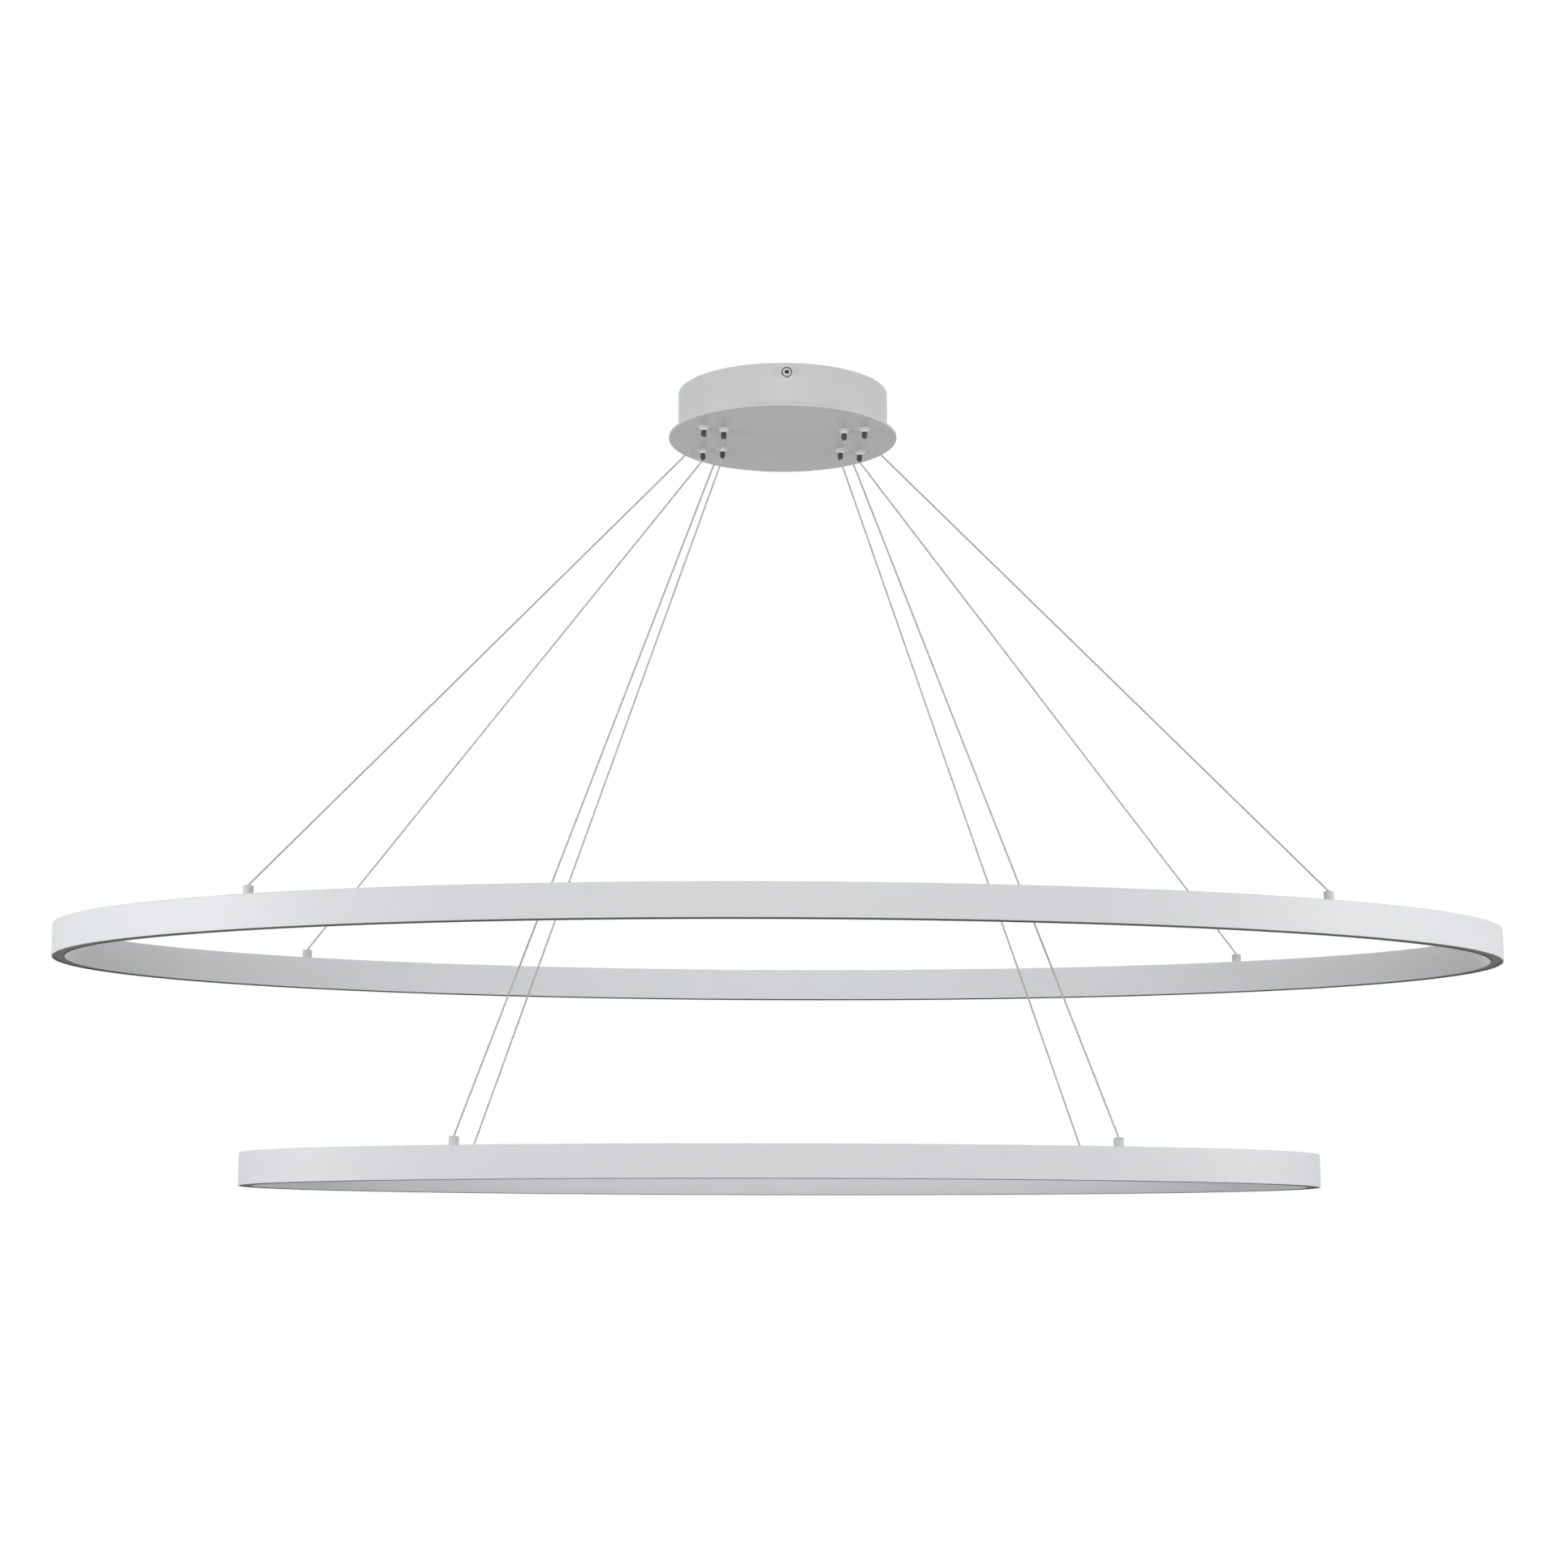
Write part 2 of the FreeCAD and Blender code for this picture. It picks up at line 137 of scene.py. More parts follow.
def oval_sweep(outline, half_length, half_breadth, base, steps):
    """A closed outline carried round an ellipse.

    With a the half length and b the half breadth, a station's point is (a cos t, b sin t) and
    its outward direction (b cos t, a sin t) made one long. A point (u, z) of the outline lies
    u inwards from the ellipse and z above the base. Stations are even in tan(t) * sqrt(b / a),
    which sets them closer where the oval turns faster.
    """
    turn = np.linspace(0, 2 * np.pi, steps, endpoint=False)
    stretch = math.sqrt(half_length / half_breadth)
    place = np.arctan2(np.sin(turn) / stretch, np.cos(turn))
    along = np.stack([half_length * np.cos(place), half_breadth * np.sin(place)], 1)
    outward = np.stack([half_breadth * np.cos(place), half_length * np.sin(place)], 1)
    outward /= np.linalg.norm(outward, axis=1, keepdims=True)
    level = along[:, None] - outward[:, None] * outline[None, :, :1]
    height = np.broadcast_to(base + outline[None, :, 1:], level.shape[:2] + (1,))
    return np.concatenate([level, height], axis=2)


def turned(outline, centre=(0, 0, 0), steps=96, shape=None):
    """An outline of (radius, height) turned about an upright line through a centre.

    A point is centre + (r cos q, r sin q, z). Where shape is given, the radius is
    multiplied by shape(q), which holds a factor for each point of the outline.
    """
    angle = np.linspace(0, 2 * np.pi, steps, endpoint=False)
    radius = np.repeat(outline[:, :1], steps, axis=1)
    if shape is not None:
        radius = radius * shape(angle)
    height = np.repeat(outline[:, 1:], steps, axis=1)
    grid = np.stack([radius * np.cos(angle), radius * np.sin(angle), height], axis=2)
    return grid + np.asarray(centre, float)


def stranded_tube(start, end, radius, lay, strands=6, depth=0.06, sides=18, rings_per_lay=6):
    """A straight cable of twisted strands, which turn once round it in each lay.

    At a distance s along the cable and an angle q round it, the radius is
    R * (1 - depth * (1 - |cos(n / 2 * (q - 2 pi s / lay))|)), with n the number of strands.
    """
    start, end = np.asarray(start, float), np.asarray(end, float)
    length = np.linalg.norm(end - start)
    ahead = (end - start) / length
    side = np.cross(ahead, (0.0, 1.0, 0.0))
    side /= np.linalg.norm(side)
    other = np.cross(ahead, side)
    count = int(length / lay * rings_per_lay) + 1
    distance = np.linspace(0, length, count)[:, None]
    angle = np.linspace(0, 2 * np.pi, sides, endpoint=False)[None, :]
    lobes = np.abs(np.cos(strands / 2 * (angle - 2 * np.pi * distance / lay)))
    reach = radius * (1 - depth * (1 - lobes))
    reach = np.concatenate([0 * reach[:1], reach, 0 * reach[-1:]])
    distance = np.concatenate([distance[:1], distance, distance[-1:]])
    around = np.cos(angle)[..., None] * side + np.sin(angle)[..., None] * other
    return start + distance[..., None] * ahead + reach[..., None] * around


def soft_prism(corners, start, end, edge, steps=4):
    """A right-angled outline of (y, z) carried along x, with every edge rounded.

    A row turned by q from an end face lies edge * (1 - cos q) from it and is drawn in by
    d = edge * (1 - sin q). A corner moves by d along both of its sides, inwards where it
    stands out and outwards where it goes in, and its radius shrinks or grows by d.
    """
    corner = np.asarray(corners, float)
    back, ahead = neighbours(corner)
    bend = ahead[:, 0] * back[:, 1] - ahead[:, 1] * back[:, 0]
    turn = np.linspace(0, np.pi / 2, steps + 1)
    rows = []
    for angle in turn:
        depth = edge * (1 - math.sin(angle))
        inset = corner + bend[:, None] * (back + ahead) * depth
        rows.append(rounded_outline(inset, edge - bend * depth + SHARP))
    middle = np.broadcast_to(corner.mean(axis=0), rows[0].shape)
    outlines = np.stack([middle, *rows, *rows[::-1], middle])
    away = edge * (1 - np.cos(turn))
    place = np.concatenate([[start], start + away, end - away[::-1], [end]])
    along = np.broadcast_to(place[:, None, None], outlines.shape[:2] + (1,))
    return np.concatenate([along, outlines], axis=2)


def hexagon(angle):
    """How far a hexagon reaches at each angle, as a share of half its width across flats.

    It is 1 / cos(q), with q the angle from the middle of the nearest flat. One flat faces 0.
    """
    return 1 / np.cos((angle + np.pi / 6) % (np.pi / 3) - np.pi / 6)


def hexagon_nut(centre, half_across, bore, low, high, chamfer=0.0007, steps=96):
    """A nut with both faces chamfered at 30 degrees, and a corner at angle 0.

    With a half the width across flats, the reach a height t inside a face is that of the
    hexagon, and a + t / tan(30) at most.
    """
    angle = np.linspace(0, 2 * np.pi, steps, endpoint=False)
    full = half_across * hexagon(angle - np.pi / 6)
    inside = np.linspace(0, chamfer, 5)
    reach = [np.minimum(full, half_across + t * math.sqrt(3)) for t in inside]
    hole = np.full(steps, bore)
    radius = np.stack([hole, *reach, *reach[::-1], hole])
    height = np.concatenate([[low], low + inside, high - inside[::-1], [high]])
    height = np.broadcast_to(height[:, None], radius.shape)
    grid = np.stack([radius * np.cos(angle), radius * np.sin(angle), height], axis=2)
    return grid + np.array([centre.x, centre.y, 0.0])


def surface(name, grids, wraps=(True, True), sharp_degrees=38, second=()):
    """One mesh object from grids of points, with doubles merged and faces turned outwards.

    The sides of the outline that second names, by the number of the point they start at, take
    the piece's second material. An outline runs along the columns of a sweep, whose rows close,
    and along the rows of a turned piece, whose rows stay open.
    """
    whole = bmesh.new()
    for grid in grids:
        rows, columns = grid.shape[:2]
        row = np.arange(rows if wraps[0] else rows - 1)[:, None]
        column = np.arange(columns if wraps[1] else columns - 1)[None, :]
        next_row, next_column = (row + 1) % rows, (column + 1) % columns
        corners = (
            row * columns + column,
            next_row * columns + column,
            next_row * columns + next_column,
            row * columns + next_column,
        )
        quads = np.stack(np.broadcast_arrays(*corners), axis=-1).reshape(-1, 4)
        mesh = bpy.data.meshes.new(name)
        mesh.from_pydata(grid.reshape(-1, 3), [], quads)
        side = column if wraps[0] else row
        in_second = np.broadcast_to(np.isin(side, second), (row.size, column.size))
        mesh.polygons.foreach_set("material_index", in_second.ravel().astype(np.int32))
        whole.from_mesh(mesh)
        bpy.data.meshes.remove(mesh)
    bmesh.ops.remove_doubles(whole, verts=whole.verts, dist=1e-7)
    bmesh.ops.dissolve_degenerate(whole, edges=whole.edges, dist=1e-8)
    bmesh.ops.recalc_face_normals(whole, faces=whole.faces)
    mesh = bpy.data.meshes.new(name)
    whole.to_mesh(mesh)
    whole.free()
    mesh.shade_smooth()
    mesh.set_sharp_from_angle(angle=math.radians(sharp_degrees))
    piece = bpy.data.objects.new(name, mesh)
    bpy.context.scene.collection.objects.link(piece)
    return piece


def closed_on_axis(outline, near=0.0001):
    """An outline whose points near the turning line give way to one on it at each end."""
    outline = outline[outline[:, 0] > near]
    first, last = (0.0, outline[0, 1]), (0.0, outline[-1, 1])
    return np.concatenate([[first], outline, [last]])


# Node groups and materials

SOCKET_KINDS = {1: "NodeSocketFloat", 3: "NodeSocketVector", 4: "NodeSocketColor"}


def skin_group(name, inputs):
    """A shader node group that puts out a skin's colour, roughness and normal."""
    group = bpy.data.node_groups.new(name, "ShaderNodeTree")
    for label, value in inputs.items():
        kind = SOCKET_KINDS[np.size(value)]
        group.interface.new_socket(label, in_out="INPUT", socket_type=kind).default_value = value
    for label, kind in (("Colour", 4), ("Roughness", 1), ("Normal", 3)):
        group.interface.new_socket(label, in_out="OUTPUT", socket_type=SOCKET_KINDS[kind])
    return group, group.nodes.new("NodeGroupInput").outputs


def linked(tree, kind, values=None, **inputs):
    """A node with its settings, and its inputs set or linked by name, or by number as _0."""
    node = tree.nodes.new(kind)
    for key, value in (values or {}).items():
        setattr(node, key, value)
    for key, value in inputs.items():
        place = int(key[1:]) if key[0] == "_" else key.replace("_", " ")
        socket = node.inputs[place]
        if isinstance(value, bpy.types.NodeSocket):
            tree.links.new(value, socket)
        else:
            socket.default_value = value
    return node


def arithmetic(tree, operation, *values):
    """The result of one Math node."""
    places = {f"_{place}": value for place, value in enumerate(values)}
    return linked(tree, "ShaderNodeMath", {"operation": operation}, **places).outputs[0]


def put_out(group, given, pattern, bump):
    """Sets a skin's outputs: a pattern shifts colour and roughness, and a bump gives the normal."""
    shift = arithmetic(group, "SUBTRACT", pattern, 0.5)
    tone = arithmetic(group, "MULTIPLY_ADD", shift, given["Tone change"], 1.0)
    rough = arithmetic(group, "MULTIPLY_ADD", shift, given["Roughness change"], given["Roughness"])
    scale = {"operation": "SCALE"}
    toned = linked(group, "ShaderNodeVectorMath", scale, _0=given["Colour"], Scale=tone)
    made = group.nodes.new("NodeGroupOutput").inputs
    group.links.new(toned.outputs[0], made["Colour"])
    group.links.new(rough, made["Roughness"])
    group.links.new(bump.outputs["Normal"], made["Normal"])
    return group


def noise(group, place, scale, detail):
    """A noise pattern's value at a place."""
    pattern = linked(group, "ShaderNodeTexNoise", Vector=place, Scale=scale, Detail=detail)
    return pattern.outputs["Fac"]


def bumped(group, strength, distance, height):
    """A Bump node over a pattern of heights."""
    return linked(group, "ShaderNodeBump", Strength=strength, Distance=distance, Height=height)


def coat_group(name):
    """Sprayed or moulded skin: fine grain as a bump, and slow changes of tone and gloss."""
    inputs = {
        "Colour": (0.8, 0.8, 0.8, 1),
        "Grain scale": 900.0,
        "Grain depth": 0.1,
        "Tone change": 0.02,
        "Roughness": 0.4,
        "Roughness change": 0.08,
    }
    group, given = skin_group(name, inputs)
    place = linked(group, "ShaderNodeTexCoord").outputs["Object"]
    grain = noise(group, place, given["Grain scale"], 2.0)
    slow = noise(group, place, 9.0, 3.0)
    return put_out(group, given, slow, bumped(group, given["Grain depth"], 0.0002, grain))


def drawn_group(name):
    """Drawn or turned metal: fine lines stretched along one direction, in tone, gloss and bump."""
    inputs = {
        "Colour": (0.6, 0.6, 0.6, 1),
        "Line scale": (400.0, 400.0, 8.0),
        "Line depth": 0.1,
        "Tone change": 0.15,
        "Roughness": 0.3,
        "Roughness change": 0.2,
    }
    group, given = skin_group(name, inputs)
    place = linked(group, "ShaderNodeTexCoord").outputs["Object"]
    stretch = {"operation": "MULTIPLY"}
    stretched = linked(group, "ShaderNodeVectorMath", stretch, _0=place, _1=given["Line scale"])
    lines = noise(group, stretched.outputs[0], 1.0, 3.0)
    return put_out(group, given, lines, bumped(group, given["Line depth"], 0.0001, lines))


COAT, DRAWN = "Coat skin", "Drawn metal"
GROUPS = {COAT: coat_group, DRAWN: drawn_group}


def finish(name, effect, tint, sockets, shader_values):
    """A material whose Principled shader takes colour, roughness and normal from a group.

    tint names a colour of PendantFinish, sockets hold the group's values, and shader_values
    what is set on the shader itself. A material is made once and then found by its name.
    """
    name = f"{name}_finish"
    found = bpy.data.materials.get(name)
    if found:
        return found
    material = bpy.data.materials.new(name)
    material.use_nodes = True
    tree = material.node_tree
    shader = tree.nodes["Principled BSDF"]
    skin = tree.nodes.new("ShaderNodeGroup")
    skin.node_tree = bpy.data.node_groups.get(effect) or GROUPS[effect](effect)
    skin.inputs["Colour"].default_value = (*getattr(bpy.context.scene.pendant_finish, tint), 1)
    for key, value in sockets.items():
        skin.inputs[key].default_value = value
    for key, value in shader_values.items():
        shader.inputs[key].default_value = value
    tree.links.new(skin.outputs["Colour"], shader.inputs["Base Color"])
    tree.links.new(skin.outputs["Roughness"], shader.inputs["Roughness"])
    tree.links.new(skin.outputs["Normal"], shader.inputs["Normal"])
    return material


def white_enamel():
    """Fine white powder coat on the canopy, the grippers' housings and the side screws."""
    values = {"Grain scale": 1400.0, "Grain depth": 0.12, "Tone change": 0.015, "Roughness": 0.42}
    return finish("white_enamel", COAT, "canopy_white", values, {"IOR": 1.5})


def dark_recess():
    """Painted shade: near-black colour in the side screws' sockets and in the gap round their
    buttons, where shade falls.
    """
    values = {"Grain scale": 1800.0, "Grain depth": 0.2, "Tone change": 0.05, "Roughness": 0.5}
    return finish("dark_recess", COAT, "screw_shade", values, {"IOR": 1.5})


def white_profile_coat():
    """Matt white powder coat on the rings' aluminium channels."""
    values = {"Grain scale": 1100.0, "Grain depth": 0.18, "Tone change": 0.02, "Roughness": 0.5}
    return finish("white_profile_coat", COAT, "ring_white", values, {"IOR": 1.5})


def bare_channel_inside():
    """Painted shade on the channel's inner walls: a dull, half-metallic dark grey that stands in
    for the groove's shadow.
    """
    values = {
        "Line scale": (60.0, 60.0, 2500.0),
        "Line depth": 0.1,
        "Roughness": 0.6,
        "Roughness change": 0.1,
    }
    return finish("bare_channel_inside", DRAWN, "bare", values, {"Metallic": 0.5})


def opal_diffuser():
    """Milky matt plastic, unlit, that looks grey over the dark inside of the channel."""
    values = {"Grain scale": 700.0, "Grain depth": 0.05, "Tone change": 0.05, "Roughness": 0.7}
    shader_values = {"IOR": 1.49, "Specular IOR Level": 0.2}
    return finish("opal_diffuser", COAT, "diffuser", values, shader_values)


def dark_nickel():
    """Polished dark nickel on the plungers."""
    values = {
        "Line scale": (900.0, 900.0, 4000.0),
        "Line depth": 0.08,
        "Roughness": 0.2,
        "Roughness change": 0.1,
    }
    return finish("dark_nickel", DRAWN, "nickel", values, {"Metallic": 1.0})


def satin_anchor():
    """Satin pale coat on the cable anchors, a little greyer than the rings."""
    values = {"Grain scale": 1600.0, "Grain depth": 0.1, "Tone change": 0.03, "Roughness": 0.38}
    return finish("satin_anchor", COAT, "anchor", values, {"IOR": 1.5})


def cable_steel():
    """Pale steel wire under a clear sleeve."""
    values = {
        "Line scale": (500.0, 500.0, 500.0),
        "Line depth": 0.03,
        "Tone change": 0.08,
        "Roughness": 0.5,
    }
    shader_values = {"Metallic": 0.0, "Specular IOR Level": 0.3}
    return finish("cable_steel", DRAWN, "steel", values, shader_values)


def zinc_sheet():
    """Zinc-plated sheet steel of the bracket, the strap and the nuts."""
    values = {"Line scale": (30.0, 900.0, 900.0), "Line depth": 0.1, "Roughness": 0.45}
    return finish("zinc_sheet", DRAWN, "zinc", values, {"Metallic": 1.0})


def driver_case():
    """Moulded pale plastic of the drivers and the terminal block."""
    values = {"Grain scale": 1600.0, "Grain depth": 0.08, "Tone change": 0.03, "Roughness": 0.55}
    return finish("driver_case", COAT, "case", values, {"IOR": 1.46})


def light_board():
    """Glossy white solder mask of the light boards inside the rings."""
    values = {"Grain scale": 300.0, "Grain depth": 0.02, "Tone change": 0.04, "Roughness": 0.3}
    return finish("light_board", COAT, "board", values, {"IOR": 1.5})


# Lamps, background and floor

def softbox(name, place, aim, size, energy, spread):
    """A soft rectangular lamp at a place, turned to what it lights."""
    lamp = bpy.data.lights.new(name, "AREA")
    lamp.shape = "RECTANGLE"
    lamp.size, lamp.size_y = size
    lamp.energy = energy
    lamp.spread = math.radians(spread)
    box = bpy.data.objects.new(name, lamp)
    box.location = place
    ahead = np.asarray(aim, float) - np.asarray(place, float)
    tilt = math.atan2(math.hypot(ahead[0], ahead[1]), -ahead[2])
    box.rotation_euler = (tilt, 0, math.atan2(ahead[1], ahead[0]) - math.pi / 2)
    bpy.context.scene.collection.objects.link(box)


def seen_rays(tree):
    """A value that is 1 for what the camera sees straight, mirrored or through glass."""
    path = linked(tree, "ShaderNodeLightPath").outputs
    shown = arithmetic(tree, "MAXIMUM", path["Is Camera Ray"], path["Is Transmission Ray"])
    return arithmetic(tree, "MAXIMUM", shown, path["Is Glossy Ray"])


def pale_floor(height):
    """A pale floor that keeps its shadows, whitens with distance and is clear from below."""
    material = bpy.data.materials.new("pale_floor")
    material.use_nodes = True
    tree = material.node_tree
    shader = tree.nodes["Principled BSDF"]
    shader.inputs["Base Color"].default_value = (*display(0.92, 0.92, 0.92), 1)
    shader.inputs["Roughness"].default_value = 0.9
    shader.inputs["Emission Color"].default_value = (1, 1, 1, 1)
    place = linked(tree, "ShaderNodeTexCoord").outputs["Object"]
    middle = (0.0, 0.0, height)
    away = linked(tree, "ShaderNodeVectorMath", {"operation": "DISTANCE"}, _0=place, _1=middle)
    fade = linked(
        tree,
        "ShaderNodeMapRange",
        {"interpolation_type": "SMOOTHSTEP"},
        Value=away.outputs["Value"],
        From_Min=0.8,
        From_Max=6.0,
        To_Min=0.42,
        To_Max=1.0,
    )
    lift = arithmetic(tree, "MULTIPLY", fade.outputs["Result"], seen_rays(tree))
    tree.links.new(lift, shader.inputs["Emission Strength"])
    back = linked(tree, "ShaderNodeNewGeometry").outputs["Backfacing"]
    tree.links.new(arithmetic(tree, "SUBTRACT", 1.0, back), shader.inputs["Alpha"])
    return material


# What every new piece gets

def dress(piece, material, slot, body, *nodes):
    """Gives a new piece its material and its body, and hides the nodes it stands for. The slot
    argument is not used.
    """
    piece.data.materials.append(material)
    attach(piece, body)
    if nodes:
        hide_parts(*nodes)


# Sizes and colours that a user would change

def metres(name, description, default):
    """A length that the panel shows."""
    return FloatProperty(
        name=name, description=description, default=default, unit="LENGTH", precision=4
    )


def colour(name, description, *shown):
    """A colour that the panel shows, given as it reads on a screen."""
    return FloatVectorProperty(
        name=name, description=description, subtype="COLOR", default=display(*shown)
    )


def power(name, description, default):
    """A lamp's power that the panel shows, in watts."""
    return FloatProperty(name=name, description=description, default=default, subtype="POWER")


class PendantShape(bpy.types.PropertyGroup):
    """Sizes of the lamp's pieces"""

    oval_steps: IntProperty(
        name="Oval steps", description="Stations round each oval", default=384, min=64
    )
    ring_width: metres("Ring width", "Width of the rings' channel", 0.013)
    ring_wall: metres("Ring wall", "Wall of the rings' channel", 0.0012)
    ring_roof: metres("Ring roof", "Roof of the rings' channel", 0.0015)
    ring_edge: metres("Ring edge", "Radius of the channel's upper edges", 0.0009)
    lip_edge: metres("Lip edge", "Radius of the channel's lower lips", 0.0004)
    diffuser_edge: metres("Diffuser edge", "Radius of the diffuser's lower edges", 0.0009)
    drum_wall: metres("Drum wall", "Sheet thickness of the drum", 0.0012)
    sheet_edge: metres("Sheet edge", "Edge radius of the canopy's sheet", 0.0004)
    socket: metres("Socket", "Half the width across flats of the side screws' sockets", 0.0019)
    socket_depth: metres("Socket depth", "Depth of the side screws' sockets", 0.0022)
    screw_button: metres("Screw button", "Radius of the button inside a side screw's head", 0.0039)
    screw_gap: metres("Screw gap", "Width of the gap round the button", 0.0008)
    brim: metres("Brim", "Thickness of a gripper housing's brim", 0.0005)
    tip_radius: metres("Tip radius", "Radius of a gripper housing's tip", 0.0036)
    stud_radius: metres("Stud radius", "Radius of a gripper's stud", 0.004)
    thread_pitch: metres("Thread pitch", "Pitch of the stud's thread", 0.0008)
    plunger_bore: metres("Plunger bore", "Radius of a plunger's bore", 0.0011)
    plunger_bevel: metres("Plunger bevel", "Bevel round a plunger's mouth", 0.0006)
    driver_cover: metres("Driver cover", "Length of the cover at each end of a driver", 0.016)
    driver_step: metres("Driver step", "How far the covers lie below a driver's top", 0.004)
    driver_edge: metres("Driver edge", "Radius of a driver's edges", 0.0012)
    anchor_radius: metres("Anchor radius", "Radius of a cable anchor", 0.0045)
    anchor_edge: metres("Anchor edge", "Radius of an anchor's upper edge", 0.0013)
    cable_diameter: metres("Cable diameter", "Diameter of a suspension cable", 0.0016)
    strand_lay: metres("Strand lay", "Length of one turn of a cable's strands", 0.011)


class PendantFinish(bpy.types.PropertyGroup):
    """Colours of the lamp's finishes"""

    canopy_white: colour("Canopy white", "Colour of the canopy's coat", 0.92, 0.93, 0.927)
    ring_white: colour("Ring white", "Colour of the rings' coat", 0.925, 0.935, 0.941)
    # Painted shade for the channel's inner walls, which lie in the groove's shadow
    bare: colour("Bare inside", "Colour of the channel's bare inner walls", 0.42, 0.425, 0.41)
    diffuser: colour("Diffuser", "Colour of the unlit diffusers", 0.65, 0.655, 0.64)
    nickel: colour("Nickel", "Colour of the plungers", 0.40, 0.39, 0.37)
    anchor: colour("Anchor", "Colour of the cable anchors", 0.83, 0.83, 0.825)
    # Painted shade for the side screws' sockets and the gaps round their buttons
    screw_shade: colour("Recess", "Colour inside the side screws' sockets and gaps", 0.12, 0.12, 0.115)
    steel: colour("Steel", "Colour of the cables", 0.80, 0.80, 0.79)
    zinc: colour("Zinc", "Colour of the zinc-plated sheet", 0.64, 0.65, 0.66)
    case: colour("Case", "Colour of the drivers' plastic", 0.89, 0.9, 0.9)
    board: colour("Board", "Colour of the light boards", 0.90, 0.90, 0.86)


class PendantStudio(bpy.types.PropertyGroup):
    """The camera, the lamps' powers and the floor"""

    camera_place: FloatVectorProperty(
        name="Camera",
        description="Where the camera stands",
        unit="LENGTH",
        default=(-0.1044, -2.7949, -0.8945),
    )
    camera_pitch: FloatProperty(
        name="Pitch", description="How far the camera looks up", subtype="ANGLE", default=0.18228
    )
    camera_yaw: FloatProperty(
        name="Yaw", description="Turn of the camera to its left", subtype="ANGLE", default=-0.03779
    )
    camera_lens: FloatProperty(
        name="Lens", description="Focal length on 36 mm, in mm", default=69.66
    )
    left_light: power("Left light", "Power of the left softbox", 4.8)
    right_light: power("Right light", "Power of the right softbox", 4.6)
    front_light: power("Front light", "Power of the front softbox", 2.35)
    back_light: power("Back light", "Power of the back softbox", 8.0)
    top_light: power("Top light", "Power of the softbox above", 3.5)
    room_light: FloatProperty(
        name="Room", description="Strength of the light from all round", default=0.2
    )
    floor_height: metres("Floor", "Height of the floor, from the ceiling", -2.3)
    floor_reach: metres("Floor reach", "Distance from the middle to the floor's edge", 9.0)


# Operators

class PENDANT_OT_stage(bpy.types.Operator):
    """Set up the camera, the lights, the floor and the background"""

    bl_idname = "pendant.stage"
    bl_label = "Stage"

    def execute(self, context):
        studio = context.scene.pendant_studio
        scene = context.scene
        scene.view_settings.view_transform = "Standard"
        lens = bpy.data.cameras.new("camera")
        lens.lens = studio.camera_lens
        lens.sensor_width = 36
        lens.clip_end = 50
        camera = bpy.data.objects.new("camera", lens)
        camera.location = studio.camera_place
        camera.rotation_euler = (math.pi / 2 + studio.camera_pitch, 0, studio.camera_yaw)
        scene.collection.objects.link(camera)
        scene.camera = camera

        for side, (place, aim, size, spread) in SOFTBOXES.items():
            energy = getattr(studio, f"{side}_light")
            softbox(f"{side}_softbox", place, aim, size, energy, spread)

        world = bpy.data.worlds.new("studio")
        world.use_nodes = True
        scene.world = world
        tree = world.node_tree
        tree.nodes.clear()
        plain = linked(tree, "ShaderNodeBackground", Color=(1, 1, 1, 1), Strength=1.0)
        room = studio.room_light
        dim = linked(tree, "ShaderNodeBackground", Color=(0.97, 0.99, 1, 1), Strength=room)
        shown = [dim.outputs[0], plain.outputs[0]]
        mixed = linked(tree, "ShaderNodeMixShader", _0=seen_rays(tree), _1=shown[0], _2=shown[1])
        output = tree.nodes.new("ShaderNodeOutputWorld")
        tree.links.new(mixed.outputs[0], output.inputs["Surface"])

        side = np.linspace(-studio.floor_reach, studio.floor_reach, 2)
        level = np.broadcast_arrays(side[:, None], side[None, :], studio.floor_height)
        floor = surface("floor", [np.stack(level, axis=2)], (False, False))
        floor.data.materials.append(pale_floor(studio.floor_height))
        return {"FINISHED"}


class PENDANT_OT_canopy(bpy.types.Operator):
    """Make the canopy's drum and base plate"""

    bl_idname = "pendant.canopy"
    bl_label = "Canopy"

    def execute(self, context):
        shape = context.scene.pendant_shape
        low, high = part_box("canopy_drum")
        outer = high.x
        inner = outer - shape.drum_wall
        corners = [(outer, low.z), (outer, high.z), (inner, high.z), (inner, low.z)]
        wall = rounded_outline(corners, shape.sheet_edge)
        drum = surface("drum_shell", [turned(wall, steps=256)])
        dress(drum, white_enamel(), "white_paint", "canopy", "canopy_drum")
        low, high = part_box("canopy_plate")
        outer = high.x
        corners = [(0.0, low.z), (outer, low.z), (outer, high.z), (0.0, high.z)]
        radii = [SHARP, shape.sheet_edge * 1.5, shape.sheet_edge, SHARP]
        rim = closed_on_axis(rounded_outline(corners, radii))
        plate = surface("base_plate", [turned(rim, steps=256)], (False, True))
        dress(plate, white_enamel(), "white_paint", "canopy", "canopy_plate")
        return {"FINISHED"}


